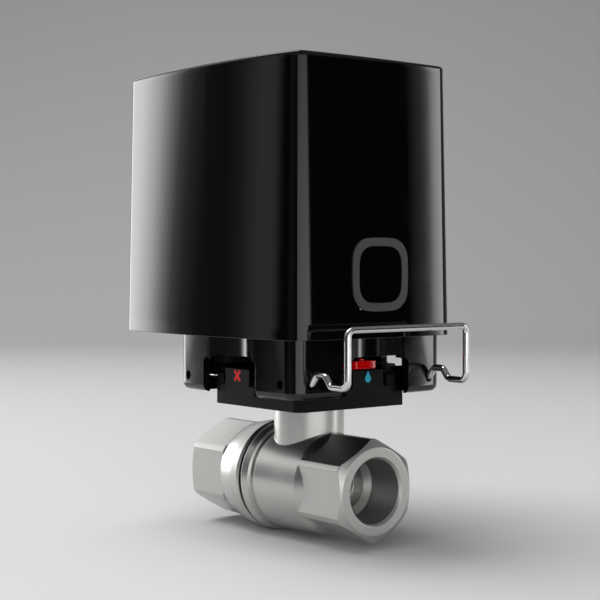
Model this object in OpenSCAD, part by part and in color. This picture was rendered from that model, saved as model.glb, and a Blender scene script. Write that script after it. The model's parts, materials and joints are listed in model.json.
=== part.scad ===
// Motorised ball valve for a water pipe, in millimetres.
// The origin is the centre of the ball. +X runs along the pipe towards the near port and the button
// face, and +Z runs up the neck into the drive housing.

/* [Valve] */
// Width across the flats of both hex ends
hex_af = 27; // [26.6:0.2:29]
// Ball centre to the near end face
near_len = 30.6; // [30:0.2:36]
// Ball centre to the far end face
far_len = 43.4; // [42:0.2:50]
// Radius that the hex corners are turned down to
corner_r = 15.1; // [14.8:0.1:15.3]
// Radius of the flat ring on each end face
face_r = 12.7; // [11.6:0.1:13]
// Radius of each port, the minor radius of a G 1/2 thread
port_r = 9.3; // [9:0.05:9.6]
// Depth of each port
port_depth = 12.4; // [10:0.2:13]
// Radius of the lead-in at each port mouth
mouth_r = 10.05; // [10:0.05:10.8]
// Radius of the water way
flow_r = 7.5; // [6:0.1:7.8]
// Radius of the ball
ball_r = 11.7; // [11.4:0.1:11.9]
// Largest radius of the far shoulder
shoulder_r = 16.9; // [16.6:0.1:18]
// Radius of the body between the neck and the near hex
body_r = 15.4; // [15.2:0.1:16]
// Radius of the neck
neck_r = 10.6; // [10:0.1:12]
// Height of the neck shoulder above the ball centre
neck_top = 23; // [22:0.2:24]
// Radius of the stem
stem_r = 5; // [4.6:0.1:5.2]

/* [Adapter] */
// Width of the square foot plate
foot_w = 40; // [34:0.5:44]
// Thickness of the foot plate
foot_t = 4.4; // [3:0.2:5]
// Height of the adapter top above the ball centre
adapter_top = 34.8; // [34.2:0.1:35.2]
// Distance from the base side back to each sign plate face
sign_setback = 2.6; // [2.5:0.1:3.6]
// Width of each sign plate
sign_w = 11.6; // [9:0.2:13]
// Height of each sign
sign_h = 3.4; // [2.5:0.1:4]
// Width of the bars of the cross
sign_bar = 1; // [0.8:0.05:1.2]
// Depth of each inlaid sign
sign_t = 0.4; // [0.3:0.05:0.8]

/* [Position ring] */
// Radius of the ring
ring_r = 14; // [11:0.2:14.6]
// Thickness of the ring
ring_t = 2.3; // [1.6:0.1:2.5]
// Gap between the pointer tip and the base wall
pointer_gap = 0.8; // [0.4:0.1:3]
// Width of the pointer
pointer_w = 8.6; // [5:0.2:9]
// Radius of the pointer corners
pointer_corner = 1.6; // [0.4:0.1:2.4]

/* [Base] */
// Width of the base across the middle of its sides
base_w = 59.2; // [58.8:0.2:61]
// Radius of the slight bulge of the base sides
base_bulge_r = 310; // [220:10:600]
// Radius of the upright corners of the base
base_corner_r = 4.8; // [3.6:0.2:7]
// Radius of the rounded lower edge of the base
base_edge_r = 2; // [0.6:0.1:2.2]
// Thickness of the base walls
base_wall = 2.4; // [2.2:0.1:2.8]
// Height of the lower edge of the base above the ball centre
base_bottom = 27.4; // [26.6:0.2:28]
// Width of each window
window_w = 25.8; // [18:0.2:26]
// Distance that each window sits off centre, away from the corner between them
window_shift = 1; // [0:0.1:1.4]
// Width of the small window in the side away from both
far_window_w = 9.6; // [6:0.2:14]
// Distance of that window from the middle of its side
far_window_shift = 7.3; // [4:0.1:7.4]
// Height of the window tops above the ball centre
window_top = 38; // [37.6:0.1:38.2]
// Width of the hollow above each window
scoop_w = 21.5; // [14:0.5:24]
// Depth of the hollow above each window
scoop_d = 3.4; // [1:0.2:4.4]
// Width of the curved end of that hollow, next to the corner between the windows
scoop_bend = 11.4; // [6:0.2:13]
// Underside of the floor above the ball centre
floor_z = 38.6; // [38.4:0.1:39.4]
// Thickness of the floor
floor_t = 2.6; // [2.4:0.1:3.2]

/* [Cover] */
// Length of the cover along the pipe at its lower edge
cover_len = 91.2; // [90:0.5:100]
// Width of the cover at its lower edge
cover_w = 67.4; // [66.8:0.2:76]
// Height of the cover
cover_h = 79.8; // [74:0.2:95]
// Distance from the stem axis to the front of the cover
cover_front = 32.6; // [32.4:0.1:34]
// Lower edge of the cover above the ball centre
cover_z = 44.3; // [44:0.1:44.8]
// Inward lean of the cover walls in degrees
cover_draft = 1.2; // [0.4:0.1:1.8]
// Radius of the bulge of the front and back walls
cover_end_bulge_r = 350; // [260:10:700]
// Radius of the bulge of the side walls
cover_side_bulge_r = 255; // [220:5:500]
// Radius of the upright corners
cover_corner_r = 5.6; // [5:0.2:9]
// Radius of the top edge
cover_edge_r = 0.9; // [0.4:0.1:1.6]
// Thickness of the cover walls
cover_wall = 2; // [1.6:0.1:2.2]

/* [Button] */
// Width of the ring round the button
button_ring_w = 21; // [19:0.2:24]
// Width of the band of that ring
button_band = 2.35; // [1.8:0.05:3]
// Height of the button centre above the ball centre
button_z = 62.4; // [61:0.2:80]
// Travel of the button
button_travel = 0.8; // [0.4:0.1:1]
// Distance that the ring stands out from the cover
button_proud = 0.25; // [0.1:0.05:0.8]

/* [Clip] */
// Radius of the clip wire
wire_r = 1; // [0.8:0.05:1.1]
// Distance from each clip leg out to the base side
clip_setback = 7.1; // [6.8:0.1:7.6]
// Height of the clip legs above the ball centre
clip_z = 31.8; // [31.4:0.1:32.2]
// Distance from the base face to the clip handle
clip_stand_off = 15; // [12:0.2:20]
// Height of the clip handle above the legs
clip_rise = 15.8; // [13:0.2:20]
// Height of the wave in each leg
wave_h = 3; // [1.5:0.1:3.6]
// Bend radius of the wire
bend_r = 2; // [1.2:0.1:2.4]
// Radius of the holes in the base for the clip
clip_hole_r = 1.4; // [1.3:0.05:1.7]

/* [Drive] */
// Module of the output gear and its pinion
output_module = 0.8; // [0.76:0.01:0.82]
// Module of the middle stage
middle_module = 0.6; // [0.56:0.01:0.62]
// Module of the motor stage
motor_module = 0.5; // [0.48:0.01:0.52]
// Teeth of the output gear
output_teeth = 45; // [43:1:46]
// Teeth of the first idler wheel
wheel_a_teeth = 40; // [38:1:42]
// Teeth of the second idler wheel
wheel_b_teeth = 36; // [34:1:38]
// Teeth of every pinion
pinion_teeth = 12; // [12:1:13]
// Radius of the idler pins
pin_r = 1.5; // [1.2:0.1:1.8]
// Radius of the motor can
motor_r = 11.8; // [10:0.1:12]
// Length of the motor can
motor_len = 31; // [24:0.5:40]

/* [Power] */
// Radius of a battery cell
cell_r = 8.5; // [8:0.1:8.7]
// Length of a battery cell
cell_len = 34.5; // [30:0.5:38]
// Width of the circuit board
board_w = 38; // [30:0.5:39]
// Height of the circuit board
board_h = 62; // [52:0.5:66]
// Thickness of the circuit board
board_t = 1.6; // [1:0.1:1.8]

/* [Fits] */
// Radial clearance of running fits
run_gap = 0.05; // [0.02:0.01:0.08]
// Clearance of pieces that are pushed together
slip_gap = 0.1; // [0.05:0.01:0.15]
// Clearance between pieces that pass each other
pass_gap = 0.3; // [0.25:0.05:0.4]

/* [Hidden] */
$fn = 64;
eps = 0.01;

// Valve levels
hex_r = hex_af / 2 / cos(30);
flat_r = hex_af / 2;
near_hex_x = 11.5;
near_cone_x = near_hex_x + 2.6;
seam_x = -12.6;
gasket_t = 1.4;
groove_floor_r = body_r - 0.1;
gasket_r = groove_floor_r;
retainer_x = seam_x - gasket_t;
spigot_r = ball_r + 1.1;
spigot_end_x = -8.4;
cavity_r = ball_r + 0.5;
seat_r = 10.8;
seat_back = ball_r + 0.3;
seat_front = 6.5;
seat_gap = 0.15;
cone_len = (port_r - flow_r) * 1.1;
tang_w = 5;
slot_z = ball_r - 2.7;
collar_z = ball_r + 0.2;
collar_t = 2;
washer_t = 0.8;
collar_r = stem_r + 1.6;
washer_z = collar_z + collar_t;
spigot_top = neck_top + 8.8;
neck_spigot_r = stem_r + 3.4;
neck_flat = stem_r + 2.2;
square_w = stem_r * 1.4;
square_top = floor_z + 5.4;
o_ring_r = 0.5;
o_ring_levels = [washer_z + washer_t + 2, washer_z + washer_t + 6];
flare_len = 13.6;

// Base and clip levels that the adapter follows
base_half = base_w / 2;
cavity_half = base_half - base_wall;
clip_half = base_half - clip_setback;
sign_reach = base_half - sign_setback;
pointer_reach = cavity_half - pointer_gap;

// Adapter levels
foot_cut = 2.2;
block_z = neck_top + foot_t;
hub_top = neck_top + 6.7;
block_half = base_half - 10.6;
lug_half = 2.6;
lug_at = clip_half;
ledge_w = sign_w + 5;
post_w = 3.4;
post_gap = 2.3;
circlip_t = 1;
ring_z = adapter_top + pass_gap;
nub_h = 0.6;
ring_notches = [140, 310];
limit_at = 16;
limit_w = 12;
limit_in = ring_r - 1.8;
limit_d = lug_at - lug_half - 1.4 - limit_in;

// Base levels
clip_face = base_half - 0.8;
clip_handle = base_half + clip_stand_off - 0.4;
clip_tip = -cavity_half;
tray_z = cover_z + 0.6;
tray_t = 3;
tray_top = tray_z + tray_t;
screw_head_r = 2.75;
screw_head_h = 1.8;
screw_r = 1.4;
screw_len = 6;
seat_z = tray_z + screw_head_h;

// Drive levels
gear_z = floor_z + floor_t + pass_gap;
gear_t = 4.8;
wheel_a_z = tray_top + pass_gap;
wheel_t = 2.4;
wheel_b_z = wheel_a_z + wheel_t + 0.8;
plate_z = wheel_b_z + wheel_t + 0.6;
plate_t = 2;
plate_top = plate_z + plate_t;
backlash = 0.12;
mesh_gap = 0.05;
pressure_angle = 25;
hub_r = square_w / sqrt(2) + 1.5;
hub_well_r = 13;
journal_r = 3;
idler_a_dir = 139;
idler_b_dir = 194.5;
motor_dir = 211;
stage_1 = output_module * (output_teeth + pinion_teeth) / 2 + mesh_gap;
stage_2 = middle_module * (wheel_a_teeth + pinion_teeth) / 2 + mesh_gap;
stage_3 = motor_module * (wheel_b_teeth + pinion_teeth) / 2 + mesh_gap;
idler_a_at = polar(stage_1, idler_a_dir);
idler_b_at = idler_a_at + polar(stage_2, idler_b_dir);
motor_at = idler_b_at + polar(stage_3, motor_dir);
plate_back = motor_at[0] - motor_r - 0.7;
plate_front = 15.5;
plate_half = 21.5;
pillar_x = [plate_back + 4.2, plate_front - 4.5];
pillar_y = plate_half - 4.6;
pillar_r = 2.8;
small_screw_r = 1;
small_head_r = 2;
small_head_h = 1.2;
thread_gap = 0.05;
board_screw_len = 6;
gearbox_screw_grip = 7;
motor_head_r = 1.9;
motor_head_h = 0.5;
motor_screw_grip = 3;
motor_screw_at = 8;
motor_screw_ways = [60, 240];
motor_collar_r = 5;
motor_shaft_r = 1;
terminal_at = 7.5;
shaft_end = plate_top + 5;

// Cover levels
cover_mid = cover_front - cover_len / 2;
cover_top = cover_z + cover_h;
gasket_h = 1.2;
rib_z = tray_top + gasket_h;
rib_h = 1.5;
rim_w = 1.8;
boss_r = 3.2;
boss_h = 6;
boss_in = cover_wall + rim_w + boss_r + 0.5;
front_screw_x = cover_front - boss_in - 1.8;
rear_screw_x = cover_front - cover_len + boss_in + 1.1;

// Button levels, measured along X from the front of the cover at the height of the button
face_x = cover_front - (button_z - cover_z) * tan(cover_draft);
ring_face = face_x + button_proud;
pad_x = face_x - 3.2;
pad_half = button_ring_w / 2 + 2.6;
flange_half = button_ring_w / 2 + 1.4;
flange_t = 1.2;
button_half = button_ring_w / 2 - button_band - slip_gap;
button_flange_half = button_ring_w / 2 - 1;
button_back = pad_x - flange_t - slip_gap;
button_flange_t = 1.2;
board_x = 20;
board_face = board_x + board_t;
board_z = tray_top + 1.2;
switch_h = 2.5;
switch_top = board_face + switch_h;
plunger_r = 1.7;
plunger_top = switch_top + button_travel + 0.2;
led_h = 0.8;
radio_t = 2.2;
radio_w = 18;
radio_h = 15;
led_at = flange_half - 1.2;

// Battery levels
cell_pitch = cell_r + 0.8;
cell_mid = -8.2;
holder_wall = 1.6;
holder_half = cell_pitch + cell_r + holder_wall;
holder_floor = 2;
contact_t = 0.5;
cell_z = plate_top + holder_floor + contact_t;
cell_top = cell_z + cell_len;
lid_z = cell_top + contact_t;
lid_t = 2;
board_screw_z = lid_z - 6;

// A point at a distance and an angle
function polar(d, a) = [d * cos(a), d * sin(a)];

// Where two circles meet, on the left of the line from the first centre to the second
function circles_meet(p, rp, q, rq) =
    let (d = norm(q - p), u = (q - p) / d, s = (rp * rp - rq * rq + d * d) / (2 * d))
    p + s * u + sqrt(rp * rp - s * s) * [-u[1], u[0]];

// One quarter of an outline whose bulged sides run tangent into round corners
function quarter(a, b, ra, rb, r, n) =
    let (end = [a - ra, 0], side = [0, b - rb],
        c = circles_meet(end, ra - r, side, rb - r),
        t1 = atan2(c[1], c[0] - end[0]), t2 = atan2(c[1] - side[1], c[0]))
    concat(
        [for (i = [0 : n - 1]) end + polar(ra, t1 * i / n)],
        [for (i = [0 : 2 * n - 1]) c + polar(r, t1 + (t2 - t1) * i / (2 * n))],
        [for (i = [0 : n - 1]) side + polar(rb, t2 + (90 - t2) * i / n)]);

function flip_x(p) = [for (i = [len(p) - 1 : -1 : 0]) [-p[i][0], p[i][1]]];
function flip_y(p) = [for (i = [len(p) - 1 : -1 : 0]) [p[i][0], -p[i][1]]];

// A whole outline, moved in by an inset
function outline(a, b, ra, rb, r, inset = 0, n = 4) =
    let (q = quarter(a - inset, b - inset, ra - inset, rb - inset, max(r - inset, 0.5), n),
        top = [[0, b - inset]], left = [[inset - a, 0]],
        half = concat(q, top, [for (i = [0 : len(q) - 2]) flip_x(q)[i]], left),
        lower = flip_y([for (i = [1 : len(half) - 2]) half[i]]))
    concat(half, lower);

function base_outline(inset = 0) =
    outline(base_half, base_half, base_bulge_r, base_bulge_r, base_corner_r, inset);

function cover_outline(inset = 0) =
    [for (p = outline(cover_len / 2, cover_w / 2, cover_end_bulge_r, cover_side_bulge_r,
        cover_corner_r, inset)) p + [cover_mid, 0]];

// Half the width of the cover at a place along its length, at its lower edge
function cover_half_at(x) =
    cover_w / 2 - cover_side_bulge_r + sqrt(pow(cover_side_bulge_r, 2) - pow(x - cover_mid, 2));

// Inward lean of the cover at a height
function lean(z) = max(z - cover_z, 0) * tan(cover_draft);

// A closed skin through stacked rings with the same number of points
module skin(rings) {
    n = len(rings[0]);
    m = len(rings);
    polyhedron(
        points = [for (ring = rings) for (p = ring) p],
        faces = concat(
            [[for (i = [0 : n - 1]) i]],
            [for (k = [0 : m - 2]) for (i = [0 : n - 1])
                let (a = k * n + i, b = k * n + (i + 1) % n) [a, a + n, b]],
            [for (k = [0 : m - 2]) for (i = [0 : n - 1])
                let (a = k * n + i, b = k * n + (i + 1) % n) [b, a + n, b + n]],
            [[for (i = [n - 1 : -1 : 0]) (m - 1) * n + i]]),
        convexity = 6);
}

function lift(outline_points, z) = [for (p = outline_points) [p[0], p[1], z]];

// Turned shape about the pipe axis, from points given as [x, radius]
module turned_on_pipe(points) {
    rotate([0, 90, 0])
        rotate_extrude($fn = 96)
            polygon([for (p = points) [p[1], p[0]]]);
}

module pipe_bore(r, x0, x1) {
    translate([x0, 0, 0])
        rotate([0, 90, 0])
            cylinder(h = x1 - x0, r = r);
}

// Hex bar along the pipe with its corners turned down and its end face chamfered
module hex_end(x0, x1) {
    out = x1 > x0 ? 1 : -1;
    chamfer = (corner_r - face_r) * tan(30);
    intersection() {
        translate([min(x0, x1), 0, 0])
            rotate([0, 90, 0])
                cylinder(h = abs(x1 - x0), r = hex_r, $fn = 6);
        turned_on_pipe([[x0, 0], [x0, corner_r], [x1 - out * chamfer, corner_r], [x1, face_r],
            [x1, 0]]);
    }
}

// Threaded port at minor size, its mouth and the cone down to the water way
module port_cut(face_x, out) {
    bottom = face_x - out * port_depth;
    turned_on_pipe([[face_x + out, 0], [face_x + out, mouth_r + 1],
        [face_x, mouth_r], [face_x - out * (mouth_r - port_r), port_r], [bottom, port_r],
        [bottom - out * cone_len, flow_r], [bottom - out * cone_len, 0]]);
}

module ring_x(x0, x1, r0, r1) {
    turned_on_pipe([[x0, r0], [x0, r1], [x1, r1], [x1, r0]]);
}

module valve_body() {
    color("silver")
    difference() {
        union() {
            hex_end(near_hex_x - eps, near_len);
            turned_on_pipe([[seam_x, 0], [seam_x, shoulder_r - 0.5], [seam_x + 0.4, shoulder_r - 0.1],
                [seam_x + 2.9, shoulder_r - 0.6], [seam_x + 3.3, groove_floor_r],
                [seam_x + 4.7, groove_floor_r], [seam_x + 5.2, body_r + 0.3],
                [near_hex_x, corner_r], [near_cone_x, flat_r], [near_cone_x, 0]]);
            cylinder(h = neck_top, r = neck_r);
            translate([0, 0, neck_top - eps])
                intersection() {
                    cylinder(h = spigot_top - neck_top, r = neck_spigot_r);
                    translate([-neck_r, -neck_flat, 0])
                        cube([2 * neck_r, 2 * neck_flat, spigot_top]);
                }
        }
        port_cut(near_len, 1);
        pipe_bore(flow_r, 0, near_len - port_depth);
        pipe_bore(seat_r + slip_gap, 0, seat_back);
        pipe_bore(cavity_r, seam_x, seat_front - 0.5);
        pipe_bore(spigot_r + slip_gap, seam_x - 1, spigot_end_x + slip_gap);
        cylinder(h = washer_z + washer_t, r = collar_r + slip_gap);
        cylinder(h = spigot_top + 1, r = stem_r + run_gap);
        translate([0, 0, hub_top + slip_gap])
            difference() {
                cylinder(h = circlip_t + slip_gap, r = neck_r);
                cylinder(h = circlip_t + slip_gap, r = neck_spigot_r - 0.8);
            }
    }
}

module end_retainer() {
    color("silver")
    difference() {
        union() {
            hex_end(retainer_x - 0.88 * flare_len, -far_len);
            turned_on_pipe([[retainer_x - flare_len, 0], [retainer_x - flare_len, flat_r],
                [retainer_x - 0.9 * flare_len, flat_r + 1],
                [retainer_x - 0.78 * flare_len, corner_r + 0.2],
                [retainer_x - 0.59 * flare_len, shoulder_r - 1],
                [retainer_x - 0.32 * flare_len, shoulder_r - 0.3],
                [retainer_x - 0.5, shoulder_r], [retainer_x, shoulder_r - 0.5], [retainer_x, 0]]);
            pipe_bore(spigot_r, retainer_x - eps, spigot_end_x);
        }
        port_cut(-far_len, -1);
        pipe_bore(flow_r, -far_len + port_depth, 0);
        pipe_bore(seat_r + slip_gap, -seat_back, 0);
    }
}

module retainer_gasket() {
    color("dimgray")
        ring_x(retainer_x, seam_x, spigot_r + slip_gap, gasket_r);
}

// Seat ring with a hollow that follows the ball
module seat(out) {
    difference() {
        ring_x(out * seat_front, out * seat_back, flow_r + 0.1, seat_r);
        sphere(r = ball_r + seat_gap, $fn = 96);
    }
}

module near_seat() {
    color("white") seat(1);
}

module far_seat() {
    color("white") seat(-1);
}

module ball() {
    color("gainsboro")
    difference() {
        sphere(r = ball_r, $fn = 96);
        pipe_bore(flow_r, -ball_r, ball_r);
        translate([-ball_r, -tang_w / 2 - slip_gap, slot_z])
            cube([2 * ball_r, tang_w + 2 * slip_gap, ball_r]);
    }
}

module stem() {
    color("goldenrod")
    difference() {
        union() {
            translate([-stem_r + 0.4, -tang_w / 2, slot_z + slip_gap])
                cube([2 * stem_r - 0.8, tang_w, collar_z - slot_z]);
            translate([0, 0, collar_z])
                cylinder(h = collar_t, r = collar_r);
            translate([0, 0, collar_z])
                cylinder(h = spigot_top - collar_z, r = stem_r);
            translate([-square_w / 2, -square_w / 2, spigot_top - eps])
                cube([square_w, square_w, square_top - spigot_top]);
        }
        for (z = o_ring_levels)
            translate([0, 0, z])
                difference() {
                    cylinder(h = 2 * o_ring_r + 0.2, r = stem_r + 1);
                    cylinder(h = 2 * o_ring_r + 0.2, r = stem_r - 1);
                }
    }
}

// Torus of a seal ring about the stem axis
module o_ring(r, z) {
    translate([0, 0, z])
        rotate_extrude()
            translate([r, 0])
                circle(r = o_ring_r, $fn = 24);
}

module stem_o_rings() {
    color("black")
    for (z = o_ring_levels)
        o_ring(stem_r - 0.49, z + o_ring_r + 0.1);
}

module stem_thrust_washer() {
    color("ivory")
    translate([0, 0, washer_z])
        difference() {
            cylinder(h = washer_t, r = collar_r - 0.1);
            translate([0, 0, -1])
                cylinder(h = washer_t + 2, r = stem_r + slip_gap);
        }
}

// The same child at the four sides of the adapter and the base
module four_sides() {
    for (a = [0 : 90 : 270])
        rotate([0, 0, a])
            children();
}

// Channels for the clip legs, along both directions of the pipe
module clip_channels(r, reach) {
    four_sides()
        translate([-reach, lug_at, clip_z])
            rotate([0, 90, 0])
                cylinder(h = 2 * reach, r = r, $fn = 32);
}

// One side of the adapter: the sign plate, the stepped ledge under it and two upright posts
module adapter_side() {
    translate([block_half - 1, -sign_w / 2, block_z])
        cube([sign_reach - block_half + 1, sign_w, adapter_top - block_z]);
    translate([0, ledge_w / 2, 0])
        rotate([90, 0, 0])
            linear_extrude(ledge_w)
                polygon([[block_half - 1, block_z], [sign_reach, block_z], [sign_reach, block_z + 2.4],
                    [sign_reach - 1.6, block_z + 4], [sign_reach - 3.4, block_z + 5],
                    [block_half - 1, block_z + 5]]);
    for (s = [-1, 1])
        translate([0, s * (sign_w / 2 + post_gap + post_w / 2) + post_w / 2, 0])
            rotate([90, 0, 0])
                linear_extrude(post_w)
                    polygon([[block_half - 1, block_z], [sign_reach - 1, block_z],
                        [sign_reach - 1, adapter_top - 1.8], [sign_reach - 2.2, adapter_top - 1.2],
                        [sign_reach - 2.2, adapter_top], [block_half - 1, adapter_top]]);
}

// Square foot with two opposite corners cut
module foot_outline() {
    h = foot_w / 2;
    c = foot_cut;
    polygon([[h, c - h], [h, h], [c - h, h], [-h, h - c], [-h, -h], [h - c, -h]]);
}

module adapter() {
    color([0.06, 0.06, 0.065])
    difference() {
        union() {
            translate([0, 0, neck_top])
                linear_extrude(foot_t + eps)
                    foot_outline();
            translate([-block_half, -block_half, block_z])
                cube([2 * block_half, 2 * block_half, adapter_top - block_z]);
            four_sides() {
                adapter_side();
                translate([lug_at - lug_half - 1, lug_at - lug_half - 1, block_z])
                    cube([2 * lug_half + 1, 2 * lug_half + 1, adapter_top - block_z]);
            }
        }
        intersection() {
            translate([0, 0, neck_top - 1])
                cylinder(h = adapter_top, r = neck_spigot_r + slip_gap);
            translate([-neck_r, -neck_flat - slip_gap, neck_top - 1])
                cube([2 * neck_r, 2 * (neck_flat + slip_gap), adapter_top]);
        }
        translate([0, 0, hub_top])
            cylinder(h = adapter_top, r = hub_well_r);
        clip_channels(wire_r + 0.15, base_half);
        sign_pocket() open_shape();
        rotate([0, 0, -90])
            sign_pocket() closed_shape();
    }
}

module adapter_circlip() {
    color("slategray")
    translate([0, 0, hub_top + slip_gap])
        difference() {
            cylinder(h = circlip_t, r = neck_spigot_r + 1.8);
            translate([0, 0, -1])
                cylinder(h = circlip_t + 2, r = neck_spigot_r - 0.75);
            translate([0, -1.6, -1])
                cube([2 * neck_spigot_r, 3.2, circlip_t + 2]);
        }
}

// A flat shape stood up on the face of a sign plate, cut or raised by the sign depth
module sign_place(depth) {
    translate([sign_reach - sign_t, 0, (block_z + adapter_top) / 2 + 1.8])
        rotate([90, 0, 90])
            linear_extrude(depth)
                children();
}

module sign_pocket() {
    sign_place(sign_t + 1) children();
}

// Water drop: a round belly under a straight-sided point
module open_shape() {
    r = sign_h / 3;
    tip = sign_h - r;
    a = acos(r / tip);
    translate([0, r - sign_h / 2]) {
        circle(r = r, $fn = 48);
        polygon([polar(r, 90 - a), [0, tip], polar(r, 90 + a)]);
    }
}

// Two crossed bars
module closed_shape() {
    for (a = [-42, 42])
        rotate(a)
            square([sign_bar, sign_h + 0.6], center = true);
}

module open_sign() {
    color("deepskyblue") sign_place(sign_t) open_shape();
}

module closed_sign() {
    color("crimson")
    rotate([0, 0, -90])
        sign_place(sign_t) closed_shape();
}

module position_ring() {
    color("red")
    translate([0, 0, ring_z])
        difference() {
            intersection() {
                cylinder(h = ring_t, r = pointer_reach, $fn = 128);
                union() {
                    cylinder(h = ring_t, r = ring_r);
                    translate([0, -pointer_w / 2, 0])
                        cube([pointer_reach - pointer_corner, pointer_w, ring_t]);
                    translate([0, pointer_corner - pointer_w / 2, 0])
                        cube([pointer_reach, pointer_w - 2 * pointer_corner, ring_t]);
                    for (s = [-1, 1])
                        translate([pointer_reach - pointer_corner, s * (pointer_w / 2 - pointer_corner), 0])
                            cylinder(h = ring_t, r = pointer_corner, $fn = 32);
                }
            }
            translate([-square_w / 2 - slip_gap, -square_w / 2 - slip_gap, -1])
                cube([square_w + 2 * slip_gap, square_w + 2 * slip_gap, ring_t + 2]);
            for (a = ring_notches)
                rotate([0, 0, a])
                    translate([ring_r, 0, ring_t / 2])
                        cylinder(h = ring_t, r = 1.6);
        }
    color("red")
        translate([pointer_reach - 2.4, 0, ring_z + ring_t - eps])
            cylinder(h = nub_h, r = 0.8);
}

function unit(v) = v / norm(v);

// The corners of a path rounded to the bend radius, with n steps in each bend
function rounded_path(p, r, n = 5) = concat([p[0]],
    [for (i = [1 : len(p) - 2])
        let (u = unit(p[i - 1] - p[i]), v = unit(p[i + 1] - p[i]), half = acos(u * v) / 2,
            rr = min(r, 0.45 * min(norm(p[i - 1] - p[i]), norm(p[i + 1] - p[i])) * tan(half)),
            c = p[i] + unit(u + v) * rr / sin(half),
            a = unit(p[i] + u * rr / tan(half) - c), b = unit(p[i] + v * rr / tan(half) - c),
            turn = acos(a * b))
        for (k = [0 : n]) c + rr * (a * sin(turn * (1 - k / n)) + b * sin(turn * k / n)) / sin(turn)],
    [p[len(p) - 1]]);

function path_way(p, i) = unit(p[min(i + 1, len(p) - 1)] - p[max(i - 1, 0)]);

// Side vectors along a path, each turned as little as possible from the one before
function path_sides(p, i, side) = i >= len(p) ? []
    : let (t = path_way(p, i), s = unit(side - (side * t) * t))
        concat([s], path_sides(p, i + 1, s));

module wire(p, r, side, n = 12) {
    s = path_sides(p, 0, side);
    skin([for (i = [0 : len(p) - 1])
        let (t = path_way(p, i), w = cross(t, s[i]))
        [for (k = [0 : n - 1]) p[i] + r * (s[i] * cos(360 * k / n) + w * sin(360 * k / n))]]);
}

// Corners of one leg: the straight end, the wave outside the hole, and the riser
function leg(side) = [for (c = [[clip_tip, 0], [clip_face, 0], [clip_face + 2.4, wave_h],
    [clip_face + 5.9, wave_h], [clip_face + 8.3, 0], [clip_handle, 0], [clip_handle, clip_rise]])
    [c[0], side * clip_half, clip_z + c[1]]];

module retaining_clip() {
    color("lightgray")
        wire(rounded_path(concat(leg(-1), [for (i = [6 : -1 : 0]) leg(1)[i]]), bend_r), wire_r,
            [0, 1, 0]);
}

// A cut in the front of the base and its mirror image in the side, across the corner between them
module two_sides() {
    children();
    rotate([0, 0, -90])
        mirror([0, 1, 0])
            children();
}

// Opening from the lower edge up, with its upper corners rounded
module window_cut(w, shift) {
    h = window_top - base_bottom + 2;
    r = 2;
    translate([cavity_half - 6, shift, base_bottom - 2])
        rotate([90, 0, 90])
            linear_extrude(12) {
                translate([-w / 2, 0])
                    square([w, h - r]);
                translate([r - w / 2, 0])
                    square([w - 2 * r, h]);
                for (s = [-1, 1])
                    translate([s * (w / 2 - r), h - r])
                        circle(r = r, $fn = 24);
            }
}

// Flat hollow whose end next to the shared corner runs out in a long curve
module scoop_cut() {
    r = (scoop_bend * scoop_bend + scoop_d * scoop_d) / (2 * scoop_d);
    h = tray_z - window_top + 1;
    translate([base_half - scoop_d, -scoop_w / 2, window_top - 1])
        intersection() {
            cube([2 * scoop_d, scoop_w, h]);
            union() {
                translate([0, scoop_bend, 0])
                    cube([2 * scoop_d, scoop_w, h]);
                translate([r, scoop_bend, 0])
                    cylinder(h = h, r = r, $fn = 128);
            }
        }
}

module screw_at_corners() {
    for (x = [front_screw_x, rear_screw_x])
        for (s = [-1, 1])
            translate([x, s * (cover_half_at(x) - boss_in), 0])
                children();
}

module at_pillars() {
    for (x = pillar_x)
        for (s = [-1, 1])
            translate([x, s * pillar_y, 0])
                children();
}

module at_idlers() {
    for (p = [idler_a_at, idler_b_at])
        translate([p[0], p[1], 0])
            children();
}

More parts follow.
